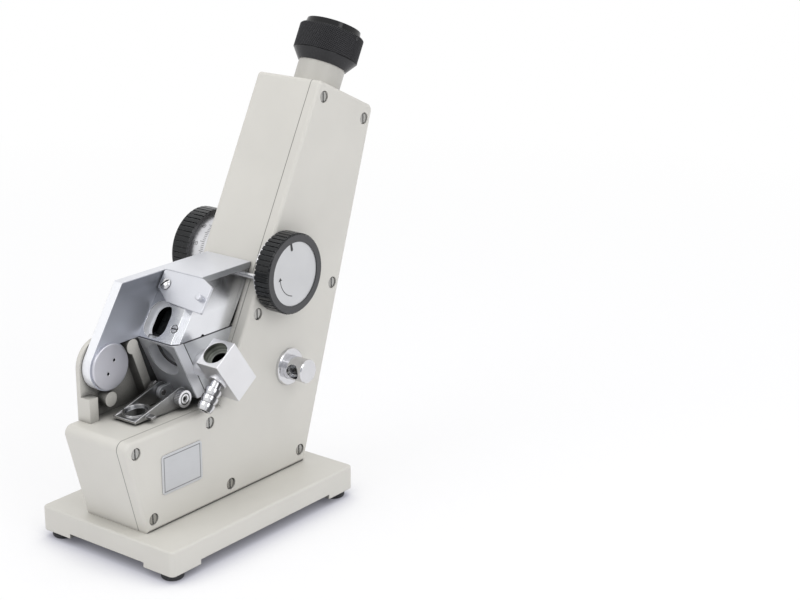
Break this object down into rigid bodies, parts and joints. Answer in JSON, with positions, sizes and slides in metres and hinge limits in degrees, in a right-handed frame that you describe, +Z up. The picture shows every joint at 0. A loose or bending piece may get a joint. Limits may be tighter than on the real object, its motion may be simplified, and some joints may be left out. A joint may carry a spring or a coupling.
{
  "type": "abbe refractometer",
  "caption": "Bench refractometer: leaning cast tower on a base plate, hinged and lockable prism box, eyepiece, dispersion and scale knobs, and a small swinging mirror.",
  "frame": {"origin": "on the surface that the feet stand on, below the middle of the base plate", "axes": "+X towards the side with the cover plate and the lock knob, -Y towards the prisms, +Z up"},
  "size_m": [0.088, 0.1898, 0.2397],
  "materials": {
    "stand_paint": "satin, fine orange peel",
    "tower_paint": "satin, fine orange peel",
    "bracket_paint": "satin",
    "tube_paint": "satin",
    "foot_rubber": "matt",
    "dark_screw_steel": "blackened, worn slots",
    "bright_steel": "turned",
    "brushed_aluminium": "brushed",
    "satin_aluminium": "fine satin",
    "foil_aluminium": "flat foil",
    "drum_metal": "satin with engraved divisions",
    "bright_chrome": "bright plated",
    "black_knob_plastic": "half gloss, ribbed",
    "black_anodised": "black anodised",
    "black_gloss": "polished",
    "bush_brass": "turned",
    "optical_glass": "polished",
    "silvered_glass": "front silvered"
  },
  "bodies": {
    "stand": {"base_plate": "stand_paint", "rubber_feet": "foot_rubber", "base_screws": "dark_screw_steel", "housing": "tower_paint", "side_cover": "tower_paint", "cover_screws": "dark_screw_steel", "nameplate": "satin_aluminium", "eyepiece_tube": "tube_paint", "reticle": "optical_glass", "objective_lens": "optical_glass", "optics_bracket": "satin_aluminium", "dispersion_bush": "bush_brass", "index_bush": "bush_brass", "lock_bush": "bush_brass", "condenser_flange": "bright_chrome", "scale_bearing": "bush_brass", "scale_prism": "optical_glass", "lower_box": "brushed_aluminium", "measuring_prism": "optical_glass", "window_plate": "satin_aluminium", "mirror_screws": "bright_steel", "thermometer_block": "satin_aluminium", "hose_nozzle": "bright_chrome", "hinge_bracket": "bracket_paint", "hinge_pin": "bright_steel"},
    "lid": {"lid_frame": "brushed_aluminium", "feed_box": "brushed_aluminium", "feed_prism": "optical_glass", "hinge_cap": "satin_aluminium", "lock_pin": "bright_steel", "face_screw": "bright_steel", "shade_screw": "bright_steel", "arm_screws": "bright_steel"},
    "shade": {"shade_plate": "satin_aluminium", "shade_stud": "satin_aluminium"},
    "mirror": {"mirror_frame": "satin_aluminium", "mirror_glass": "silvered_glass"},
    "focus": {"focus_ring": "black_anodised", "eye_cap": "black_gloss", "eye_lens": "optical_glass"},
    "dispersion": {"dispersion_drum": "drum_metal", "dispersion_knob": "black_knob_plastic", "dispersion_shaft": "bright_steel"},
    "upper_prism_cell": {"upper_cell": "black_anodised", "upper_prism": "optical_glass"},
    "lower_prism_cell": {"lower_cell": "black_anodised", "lower_prism": "optical_glass"},
    "lock": {"lock_knob": "black_knob_plastic", "lock_plate": "foil_aluminium", "lock_shaft": "bright_steel", "lock_cam": "satin_aluminium"},
    "index": {"index_knob": "black_knob_plastic", "index_shaft": "bright_steel"},
    "sector": {"scale_sector": "satin_aluminium", "scale_glass": "optical_glass", "swing_mirror": "silvered_glass"},
    "condenser": {"condenser_tube": "bright_chrome", "condenser_glass": "optical_glass"}
  },
  "joints": [
    {"name": "lid_swing", "type": "hinge", "parent": "stand", "child": "lid", "pos_m": [0, -0.0474, 0.0902], "axis": [1, 0, 0], "range_deg": [0, 105]},
    {"name": "shade_turn", "type": "hinge", "parent": "lid", "child": "shade", "pos_m": [-0.007, -0.01132, 0.1224], "axis": [0, -0.8151, 0.5793], "range_deg": [-55, 0]},
    {"name": "mirror_tilt", "type": "hinge", "parent": "stand", "child": "mirror", "pos_m": [0, -0.0203, 0.0709], "axis": [1, 0, 0], "range_deg": [-40, 0]},
    {"name": "focus_turn", "type": "hinge", "parent": "stand", "child": "focus", "pos_m": [0, 0.04884, 0.1218], "axis": [0, 0.4617, 0.887], "range_deg": [-120, 120]},
    {"name": "dispersion_turn", "type": "hinge", "parent": "stand", "child": "dispersion", "pos_m": [0, 0.04884, 0.1218], "axis": [1, 0, 0], "continuous": true},
    {"name": "upper_cell_turn", "type": "hinge", "parent": "stand", "child": "upper_prism_cell", "pos_m": [0, 0.04884, 0.1218], "axis": [0, 0.4617, 0.887], "continuous": true},
    {"name": "lower_cell_turn", "type": "hinge", "parent": "stand", "child": "lower_prism_cell", "pos_m": [0, 0.04884, 0.1218], "axis": [0, 0.4617, 0.887], "continuous": true},
    {"name": "lock_turn", "type": "hinge", "parent": "stand", "child": "lock", "pos_m": [0, 0.0376, 0.1236], "axis": [1, 0, 0], "range_deg": [0, 50]},
    {"name": "index_turn", "type": "hinge", "parent": "stand", "child": "index", "pos_m": [0, 0.0211, 0.05534], "axis": [1, 0, 0], "range_deg": [-104, 104]},
    {"name": "sector_swing", "type": "hinge", "parent": "stand", "child": "sector", "pos_m": [0, 0.029, 0.088], "axis": [1, 0, 0], "range_deg": [-15, 15]},
    {"name": "condenser_turn", "type": "hinge", "parent": "stand", "child": "condenser", "pos_m": [0, 0.0438, 0.0716], "axis": [1, 0, 0], "continuous": true}
  ],
  "couplings": [
    {"joint": "upper_cell_turn", "follows": "dispersion_turn", "ratio": 0.62609},
    {"joint": "lower_cell_turn", "follows": "dispersion_turn", "ratio": -0.62609},
    {"joint": "sector_swing", "follows": "index_turn", "ratio": -0.14286}
  ]
}
